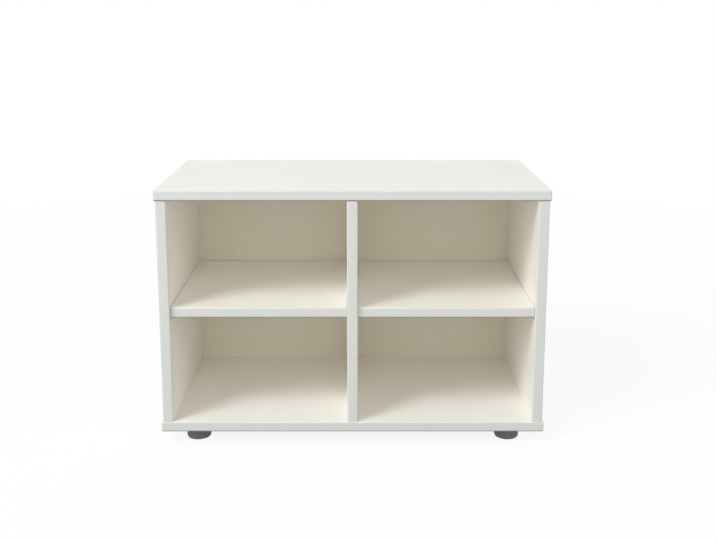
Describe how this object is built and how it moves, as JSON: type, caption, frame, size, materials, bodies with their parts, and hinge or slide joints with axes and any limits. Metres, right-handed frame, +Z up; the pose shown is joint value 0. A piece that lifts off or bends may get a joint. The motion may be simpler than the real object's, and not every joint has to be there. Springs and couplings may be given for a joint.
{
  "type": "shelving unit",
  "caption": "Low free-standing open shelving unit in white boards, with a centre divider, a loose shelf on each side, a grooved back and levelling feet.",
  "frame": {"origin": "on the floor, under the centre of the unit's box", "axes": "+X to the right along the width seen from the front, +Y to the rear, +Z up; the open front faces -Y"},
  "size_m": [0.8, 0.4, 0.542],
  "materials": {
    "white_board": "matt white melamine on chipboard, very fine grain",
    "white_band": "satin white edge band with rounded arrises",
    "back_board": "white lacquered thin fibreboard",
    "beech": "raw beech with flutes",
    "zinc_steel": "bright zinc plate",
    "yellow_zinc_steel": "yellow passivated zinc plate",
    "grey_plastic": "dark grey moulded plastic, satin"
  },
  "bodies": {
    "carcass": {"top_panel": "white_board", "bottom_panel": "white_board", "left_side_panel": "white_board", "right_side_panel": "white_board", "divider_panel": "white_board", "back_panel": "back_board", "top_front_band": "white_band", "top_left_band": "white_band", "top_right_band": "white_band", "bottom_front_band": "white_band", "bottom_left_band": "white_band", "bottom_right_band": "white_band", "left_side_front_band": "white_band", "right_side_front_band": "white_band", "divider_front_band": "white_band", "top_left_front_dowel": "beech", "top_left_middle_dowel": "beech", "top_left_rear_dowel": "beech", "top_divider_front_dowel": "beech", "top_divider_middle_dowel": "beech", "top_divider_rear_dowel": "beech", "top_right_front_dowel": "beech", "top_right_middle_dowel": "beech", "top_right_rear_dowel": "beech", "bottom_left_front_dowel": "beech", "bottom_left_middle_dowel": "beech", "bottom_left_rear_dowel": "beech", "bottom_divider_front_dowel": "beech", "bottom_divider_middle_dowel": "beech", "bottom_divider_rear_dowel": "beech", "bottom_right_front_dowel": "beech", "bottom_right_middle_dowel": "beech", "bottom_right_rear_dowel": "beech", "left_shelf_outer_front_pin": "zinc_steel", "left_shelf_outer_rear_pin": "zinc_steel", "left_shelf_inner_front_pin": "zinc_steel", "left_shelf_inner_rear_pin": "zinc_steel", "right_shelf_outer_front_pin": "zinc_steel", "right_shelf_outer_rear_pin": "zinc_steel", "right_shelf_inner_front_pin": "zinc_steel", "right_shelf_inner_rear_pin": "zinc_steel", "front_left_sleeve": "yellow_zinc_steel", "front_right_sleeve": "yellow_zinc_steel", "rear_left_sleeve": "yellow_zinc_steel", "rear_right_sleeve": "yellow_zinc_steel"},
    "left_shelf": {"left_shelf": "white_board", "left_shelf_front_band": "white_band"},
    "right_shelf": {"right_shelf": "white_board", "right_shelf_front_band": "white_band"},
    "front_left_glide": {"front_left_glide": "grey_plastic"},
    "front_left_stem": {"front_left_stem": "zinc_steel"},
    "front_right_glide": {"front_right_glide": "grey_plastic"},
    "front_right_stem": {"front_right_stem": "zinc_steel"},
    "rear_left_glide": {"rear_left_glide": "grey_plastic"},
    "rear_left_stem": {"rear_left_stem": "zinc_steel"},
    "rear_right_glide": {"rear_right_glide": "grey_plastic"},
    "rear_right_stem": {"rear_right_stem": "zinc_steel"}
  },
  "joints": [
    {"name": "left_shelf_slide", "type": "slide", "parent": "carcass", "child": "left_shelf", "axis": [0, -1, 0], "range_m": [0, 0.39]},
    {"name": "right_shelf_slide", "type": "slide", "parent": "carcass", "child": "right_shelf", "axis": [0, -1, 0], "range_m": [0, 0.39]},
    {"name": "front_left_foot_height", "type": "slide", "parent": "carcass", "child": "front_left_glide", "axis": [0, 0, -1], "range_m": [0, 0.0075]},
    {"name": "front_left_stem_turn", "type": "hinge", "parent": "front_left_glide", "child": "front_left_stem", "pos_m": [-0.329, -0.152, 0.0236], "axis": [0, 0, -1], "range_deg": [0, 1800]},
    {"name": "front_right_foot_height", "type": "slide", "parent": "carcass", "child": "front_right_glide", "axis": [0, 0, -1], "range_m": [0, 0.0075]},
    {"name": "front_right_stem_turn", "type": "hinge", "parent": "front_right_glide", "child": "front_right_stem", "pos_m": [0.329, -0.152, 0.0236], "axis": [0, 0, -1], "range_deg": [0, 1800]},
    {"name": "rear_left_foot_height", "type": "slide", "parent": "carcass", "child": "rear_left_glide", "axis": [0, 0, -1], "range_m": [0, 0.0075]},
    {"name": "rear_left_stem_turn", "type": "hinge", "parent": "rear_left_glide", "child": "rear_left_stem", "pos_m": [-0.329, 0.152, 0.0236], "axis": [0, 0, -1], "range_deg": [0, 1800]},
    {"name": "rear_right_foot_height", "type": "slide", "parent": "carcass", "child": "rear_right_glide", "axis": [0, 0, -1], "range_m": [0, 0.0075]},
    {"name": "rear_right_stem_turn", "type": "hinge", "parent": "rear_right_glide", "child": "rear_right_stem", "pos_m": [0.329, 0.152, 0.0236], "axis": [0, 0, -1], "range_deg": [0, 1800]}
  ],
  "couplings": [
    {"joint": "front_left_stem_turn", "follows": "front_left_foot_height", "rad_per_m": 4188.8},
    {"joint": "front_right_stem_turn", "follows": "front_right_foot_height", "rad_per_m": 4188.8},
    {"joint": "rear_left_stem_turn", "follows": "rear_left_foot_height", "rad_per_m": 4188.8},
    {"joint": "rear_right_stem_turn", "follows": "rear_right_foot_height", "rad_per_m": 4188.8}
  ]
}
